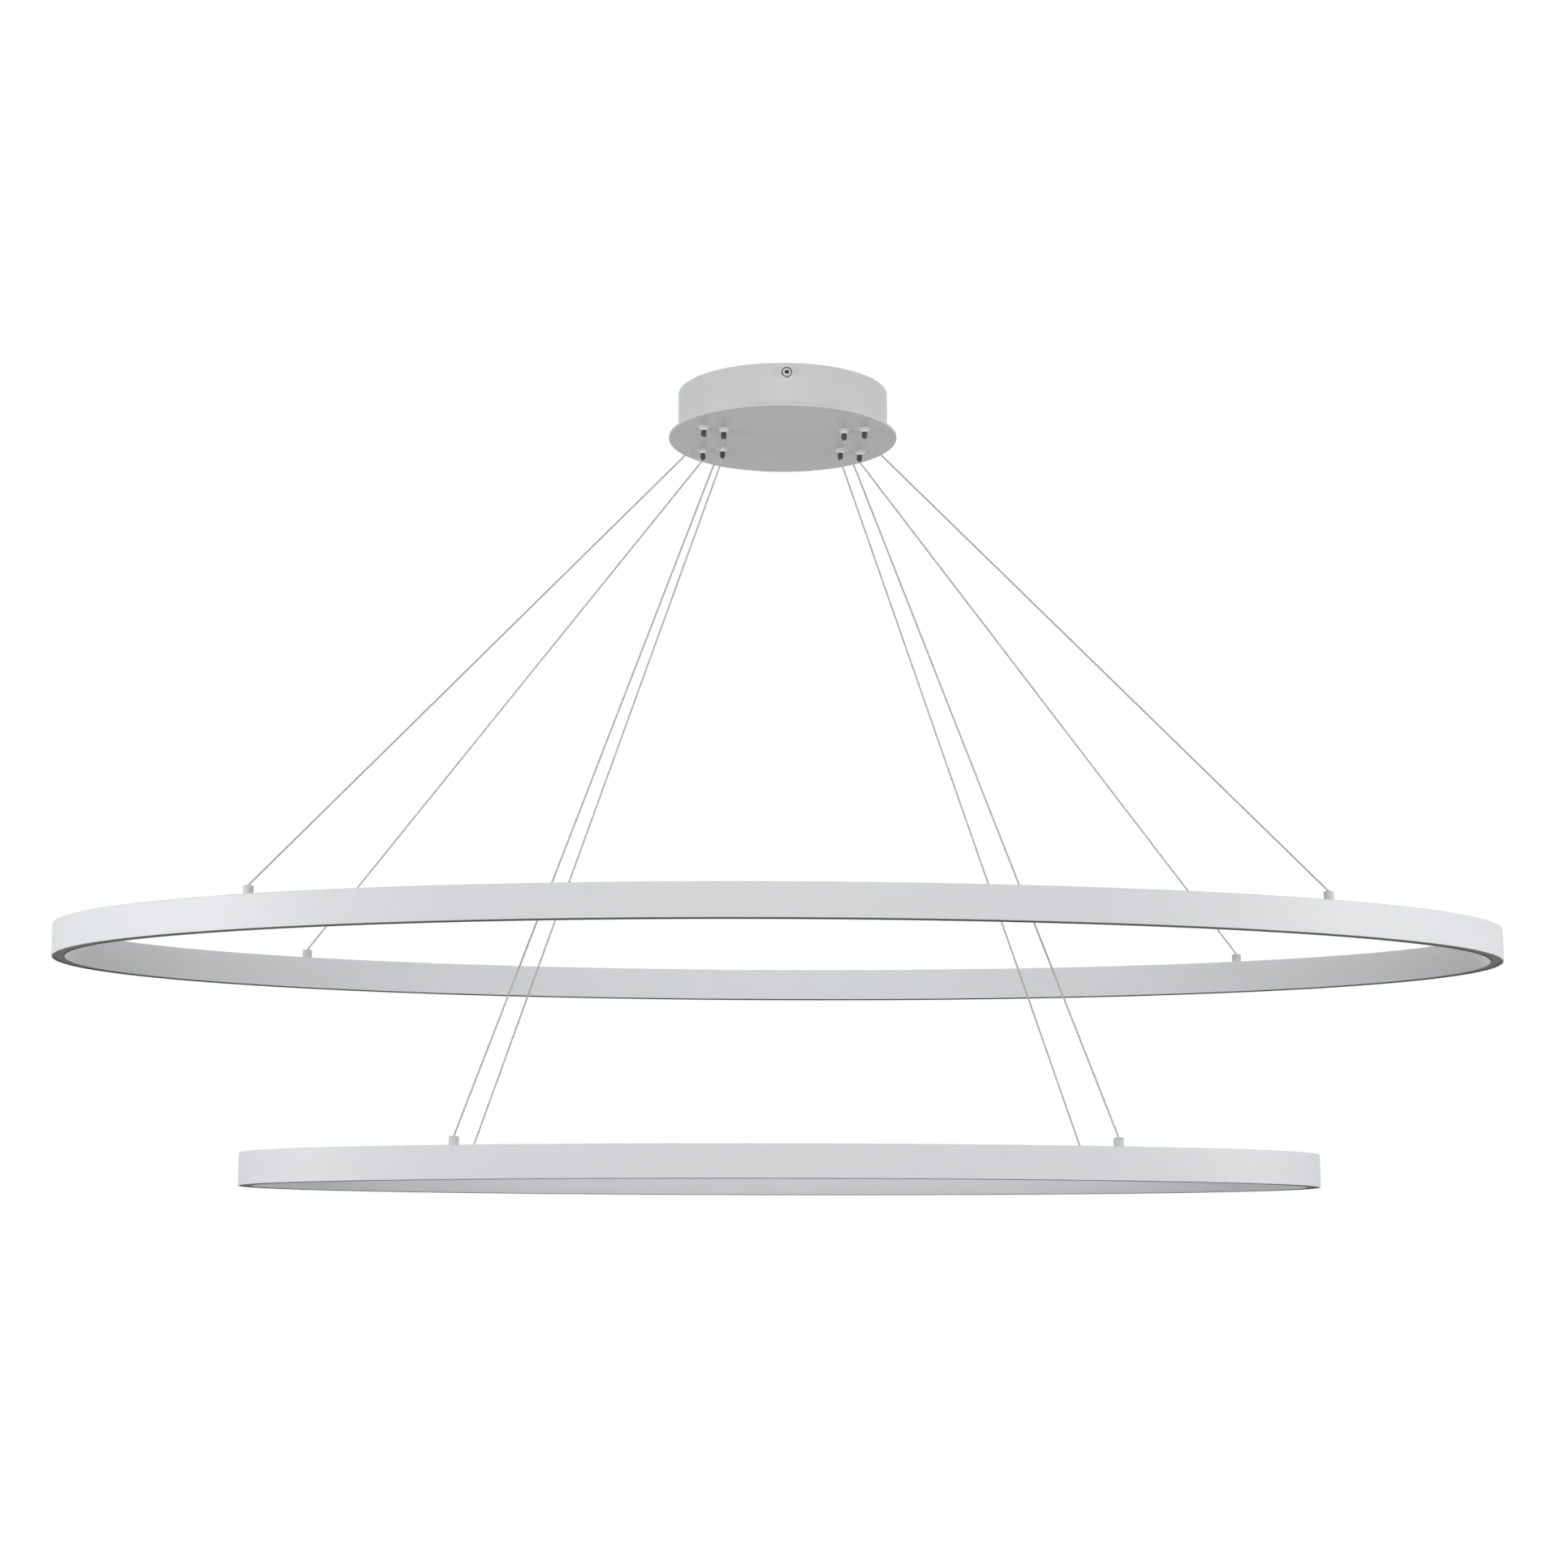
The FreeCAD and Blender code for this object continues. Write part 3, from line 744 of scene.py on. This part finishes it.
class PENDANT_OT_side_screws(bpy.types.Operator):
    """Make the two socket screws on the drum's side"""

    bl_idname = "pendant.side_screws"
    bl_label = "Side screws"

    def execute(self, context):
        shape = context.scene.pendant_shape
        low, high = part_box("canopy_side_screws")
        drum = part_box("canopy_drum")[1].x
        radius = (high.x - low.x) / 2
        level = (high.z + low.z) / 2
        rise = high.y - drum
        # The shank's radius and depth, and the heights of the head's rim and of the gap's floor
        shank, depth, rim, trough = 0.002, 0.009, rise - 0.0007, rise * 0.3
        socket, button = shape.socket, shape.screw_button
        outside = button + shape.screw_gap
        corners = [
            (radius, 0.0),
            (radius, rim),
            (outside, rim),
            (outside, trough),
            (button, trough),
            (button, rise),
            (socket, rise),
            (socket, 0.0),
        ]
        radii = [BROKEN, 0.0004, 0.0001, 0.0001, 0.0001, 0.0006, BROKEN, BROKEN]
        head = rounded_outline(corners, radii)
        head = head[head[:, 0] > socket + BROKEN]
        floor = rise - shape.socket_depth
        # The socket's mouth is bevelled by 0.2 mm to a quarter more than its width
        hollow = [(socket * 1.25, rise), (socket, rise - 0.0002), (socket, floor), (0.0, floor)]
        outline = np.concatenate([[(0.0, -depth), (shank, -depth), (shank, 0.0)], head, hollow])
        in_hollow = np.arange(len(outline)) > len(outline) - len(hollow)
        away, height = outline.T
        in_gap = (away > button - BROKEN) & (away < outside + BROKEN)
        in_gap &= (height < rim - 0.0002) & (height > rise * 0.2)

        def six_sided(angle):
            """The socket's points reach as far as a hexagon, and the others keep their radius."""
            return np.where(in_hollow[:, None], hexagon(angle)[None, :], 1.0)

        grid = turned(outline, steps=96, shape=six_sided)
        front = np.stack([grid[..., 0], -drum - grid[..., 2], level + grid[..., 1]], axis=2)
        # The faces in the socket and in the gap take the second material, a painted shade
        painted_shade = in_hollow | in_gap
        rows = np.flatnonzero(painted_shade[:-1] & painted_shade[1:])
        screws = surface("socket_screws", [front, front * (-1, -1, 1)], (False, True), second=rows)
        dress(screws, white_enamel(), "white_screw", "canopy", "canopy_side_screws")
        screws.data.materials.append(dark_recess())
        return {"FINISHED"}


class PENDANT_OT_grippers(bpy.types.Operator):
    """Make the cable grippers' flared housings, their nuts and their plungers"""

    bl_idname = "pendant.grippers"
    bl_label = "Cable grippers"

    def execute(self, context):
        shape = context.scene.pendant_shape
        nut_low, nut_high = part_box("gripper_nuts")
        half_across = nut_high.y - node_middle("plunger_upper_back_right").y
        nut_bore = shape.stud_radius + 0.0001
        outline = self.housing(shape)
        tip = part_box("gripper_housings")[0].z
        housings, nuts = [], []
        for tier in TIERS:
            for corner in CORNERS:
                node = f"plunger_{tier}_{corner}"
                middle = node_middle(node)
                housings.append(turned(outline, (middle.x, middle.y, 0), steps=64))
                nuts.append(hexagon_nut(middle, half_across, nut_bore, nut_low.z, nut_high.z))
                self.plunger(shape, node, middle, tip)
        piece = surface("gripper_housing_cones", housings)
        dress(piece, white_enamel(), "white_paint", "canopy", "gripper_housings")
        piece = surface("gripper_hexagon_nuts", nuts, sharp_degrees=25)
        dress(piece, zinc_sheet(), "zinc_steel", "canopy", "gripper_nuts")
        return {"FINISHED"}

    def housing(self, shape):
        """A lip, a flare to the brim under the plate, and a threaded stud above the plate.

        At a share s of its rise the flare's radius is tip + (brim - tip) * s**3.1.
        """
        plate_low, plate_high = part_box("canopy_plate")
        low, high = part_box("gripper_housings")
        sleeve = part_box("plunger_upper_front_right")[1]
        outermost = node_middle("plunger_upper_front_right")
        brim_radius = high.x - outermost.x
        # The bore is 2% wider than the sleeve, and bevel breaks the brim's and the thread's edges
        bore, bevel = (sleeve.x - outermost.x) * 1.02, 0.0002
        tip, flare_foot, under = shape.tip_radius, 0.0004, plate_low.z - shape.brim
        corners = [(bore, low.z), (tip, low.z), (tip, under), (bore, under)]
        lip = rounded_outline(corners, [bevel, 0.00035, SHARP, SHARP])
        lip = lip[lip[:, 1] < low.z + 0.0006]
        rise = np.linspace(0, 1, 12)[1:]
        radius = tip + (brim_radius - bevel - tip) * rise**3.1
        height = low.z + flare_foot + (under - low.z - flare_foot) * rise
        flare = np.stack([radius, height], axis=1)
        brim = [(brim_radius, under + bevel), (brim_radius, plate_low.z)]
        stud = [(shape.stud_radius, plate_low.z), (shape.stud_radius, plate_high.z)]
        # The thread is 0.4 of its pitch deep, with a point on each crest and in each root
        turns = int((high.z - plate_high.z) / shape.thread_pitch)
        ridges = np.arange(2 * turns)
        radius = shape.stud_radius - shape.thread_pitch * 0.4 * (ridges % 2)
        height = np.linspace(plate_high.z + bevel, high.z - bevel, len(ridges))
        thread = np.stack([radius, height], axis=1)
        top = [(shape.stud_radius, high.z), (bore, high.z)]
        return np.concatenate([lip, flare, brim, stud, thread, top])

    def plunger(self, shape, node, middle, tip):
        """A sleeve with a bevelled mouth, a flared bore and two grooves below the housing's tip."""
        low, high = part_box(node)
        radius = (high.x - low.x) / 2
        bore, bevel = shape.plunger_bore, shape.plunger_bevel
        corners = [
            (bore, high.z),
            (bore, low.z + 2 * bevel),
            (bore + bevel, low.z),
            (radius - bevel, low.z),
            (radius, low.z + bevel),
        ]
        # Each groove is 0.4 mm deep and 0.4 mm wide at its floor, with sides that slope by 0.2 mm
        groove = radius - 0.0004
        for foot in (low.z + 0.0011, tip - 0.0014):
            corners += [(radius, foot), (groove, foot + 0.0002)]
            corners += [(groove, foot + 0.0006), (radius, foot + 0.0008)]
        corners.append((radius, high.z))
        outline = rounded_outline(corners, 0.00006, steps=2, support=0.00002)
        grid = turned(outline, (middle.x, middle.y, 0), steps=48)
        sleeve = surface(f"{node}_sleeve", [grid])
        dress(sleeve, dark_nickel(), "dark_nickel", node, node)


class PENDANT_OT_rings(bpy.types.Operator):
    """Make the two oval channels and their diffusers"""

    bl_idname = "pendant.rings"
    bl_label = "Oval rings"

    def execute(self, context):
        shape = context.scene.pendant_shape
        for tier in TIERS:
            self.channel(shape, tier)
            self.diffuser(shape, tier)
        return {"FINISHED"}

    def channel(self, shape, tier):
        """A channel open below, with rounded edges and painted shade on its inner walls."""
        low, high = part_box(f"{tier}_ring_channel")
        height = high.z - low.z
        wall, width, roof = shape.ring_wall, shape.ring_width, height - shape.ring_roof
        corners = [
            (0.0, 0.0),
            (0.0, height),
            (width, height),
            (width, 0.0),
            (width - wall, 0.0),
            (width - wall, roof),
            (wall, roof),
            (wall, 0.0),
        ]
        edge, lip = shape.ring_edge, shape.lip_edge
        outline = rounded_outline(corners, [lip, edge, edge, lip, lip, lip, lip, lip])
        across, up = (outline + np.roll(outline, -1, axis=0)).T / 2
        # The inner walls' faces, which take the painted shade as the second material
        bare = np.abs(across - width / 2) < width / 2 - wall + lip / 4
        bare &= (up < (roof + height) / 2) & (up > lip * 0.8)
        grid = oval_sweep(outline, high.x, high.y, low.z, shape.oval_steps)
        piece = surface(f"{tier}_channel", [grid], second=np.flatnonzero(bare))
        coat = white_profile_coat()
        dress(piece, coat, "white_aluminium", f"{tier}_ring", f"{tier}_ring_channel")
        piece.data.materials.append(bare_channel_inside())

    def diffuser(self, shape, tier):
        """A strip that closes the channel, with rounded lower edges."""
        low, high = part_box(f"{tier}_ring_channel")
        bottom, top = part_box(f"{tier}_ring_diffuser")
        # The strip clears the channel's walls by 0.03 mm
        near = shape.ring_wall + 0.00003
        far = shape.ring_width - near
        under, over = bottom.z - low.z, top.z - low.z
        corners = [(near, over), (far, over), (far, under), (near, under)]
        radii = [0.0001, 0.0001, shape.diffuser_edge, shape.diffuser_edge]
        outline = rounded_outline(corners, radii, steps=5)
        grid = oval_sweep(outline, high.x, high.y, low.z, shape.oval_steps)
        piece = surface(f"{tier}_diffuser", [grid])
        dress(piece, opal_diffuser(), "opal_plastic", f"{tier}_ring", f"{tier}_ring_diffuser")


def anchor_places(tier, radius):
    """Where a ring's four anchors stand, from the box round them and their radius."""
    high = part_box(f"{tier}_ring_anchors")[1]
    x, y = high.x - radius, high.y - radius
    return {corner: (side * x, depth * y) for corner, (side, depth) in CORNERS.items()}


class PENDANT_OT_anchors(bpy.types.Operator):
    """Make the cable anchors on the rings"""

    bl_idname = "pendant.anchors"
    bl_label = "Cable anchors"

    def execute(self, context):
        shape = context.scene.pendant_shape
        radius, bore = shape.anchor_radius, 0.0008
        radii = [BROKEN, 0.0001, shape.anchor_edge, 0.0002]
        for tier in TIERS:
            low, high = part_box(f"{tier}_ring_anchors")
            corners = [(bore, low.z), (radius, low.z), (radius, high.z), (bore, high.z)]
            outline = rounded_outline(corners, radii, steps=6)
            places = anchor_places(tier, radius).values()
            grids = [turned(outline, (x, y, 0), steps=64) for x, y in places]
            piece = surface(f"{tier}_cable_anchors", grids)
            dress(piece, satin_anchor(), "white_paint", f"{tier}_ring", f"{tier}_ring_anchors")
        return {"FINISHED"}


class PENDANT_OT_cables(bpy.types.Operator):
    """Make the eight taut cables of twisted strands"""

    bl_idname = "pendant.cables"
    bl_label = "Cables"

    def execute(self, context):
        shape = context.scene.pendant_shape
        for tier in TIERS:
            feet = anchor_places(tier, shape.anchor_radius)
            for corner in CORNERS:
                node = f"cable_{tier}_{corner}"
                low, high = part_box(node)
                middle = node_middle(f"plunger_{tier}_{corner}")
                start = (middle.x, middle.y, high.z)
                end = (*feet[corner], low.z)
                grid = stranded_tube(start, end, shape.cable_diameter / 2, shape.strand_lay)
                name = f"{tier}_{corner}_cable"
                cable = surface(name, [grid], (False, True), sharp_degrees=80)
                dress(cable, cable_steel(), "steel_cable", "canopy", node)
                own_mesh(cable)
        return {"FINISHED"}


class PENDANT_OT_drivers(bpy.types.Operator):
    """Make the two drivers' cases, with a lower cover at each end"""

    bl_idname = "pendant.drivers"
    bl_label = "Drivers"

    def execute(self, context):
        shape = context.scene.pendant_shape
        for tier in TIERS:
            node = f"driver_{tier}_ring"
            low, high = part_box(node)
            left, right = low.y + shape.driver_cover, high.y - shape.driver_cover
            cover = high.z - shape.driver_step
            corners = [(low.y, low.z), (high.y, low.z), (high.y, cover), (right, cover)]
            corners += [(right, high.z), (left, high.z), (left, cover), (low.y, cover)]
            grid = soft_prism(corners, low.x, high.x, shape.driver_edge)
            case = surface(f"{tier}_driver_case", [grid], (False, True))
            dress(case, driver_case(), "driver_plastic", "canopy", node)
        return {"FINISHED"}


class PENDANT_OT_inner_parts(bpy.types.Operator):
    """Give the pieces inside the canopy and the rings their finishes"""

    bl_idname = "pendant.inner_parts"
    bl_label = "Inner parts"

    def execute(self, context):
        finishes = {
            "ceiling_bracket": zinc_sheet,
            "driver_strap": zinc_sheet,
            "terminal_block": driver_case,
            "upper_ring_light_strip": light_board,
            "lower_ring_light_strip": light_board,
        }
        for node, material in finishes.items():
            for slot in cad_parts[node].material_slots:
                slot.material = material()
        return {"FINISHED"}


class PENDANT_PT_parts(bpy.types.Panel):
    """List the pieces, their sizes, their colours and the studio"""

    bl_label = "Oval ring pendant"
    bl_idname = "PENDANT_PT_parts"
    bl_space_type = "VIEW_3D"
    bl_region_type = "UI"
    bl_category = "Pendant"

    def draw(self, context):
        for operator in OPERATORS:
            self.layout.operator(operator.bl_idname)
        scene = context.scene
        for group in (scene.pendant_shape, scene.pendant_finish, scene.pendant_studio):
            box = self.layout.box()
            for key in group.__annotations__:
                box.prop(group, key)


OPERATORS = (
    PENDANT_OT_stage,
    PENDANT_OT_rings,
    PENDANT_OT_anchors,
    PENDANT_OT_cables,
    PENDANT_OT_canopy,
    PENDANT_OT_side_screws,
    PENDANT_OT_grippers,
    PENDANT_OT_drivers,
    PENDANT_OT_inner_parts,
)
CLASSES = (PendantShape, PendantFinish, PendantStudio, *OPERATORS, PENDANT_PT_parts)


def register():
    for item in CLASSES:
        bpy.utils.register_class(item)
    bpy.types.Scene.pendant_shape = PointerProperty(type=PendantShape)
    bpy.types.Scene.pendant_finish = PointerProperty(type=PendantFinish)
    bpy.types.Scene.pendant_studio = PointerProperty(type=PendantStudio)


def unregister():
    del bpy.types.Scene.pendant_studio
    del bpy.types.Scene.pendant_finish
    del bpy.types.Scene.pendant_shape
    for item in reversed(CLASSES):
        bpy.utils.unregister_class(item)


def main():
    register()
    bpy.ops.pendant.stage()
    bpy.ops.pendant.rings()
    bpy.ops.pendant.anchors()
    bpy.ops.pendant.cables()
    bpy.ops.pendant.canopy()
    bpy.ops.pendant.side_screws()
    bpy.ops.pendant.grippers()
    bpy.ops.pendant.drivers()
    bpy.ops.pendant.inner_parts()


if __name__ == "__main__":
    main()
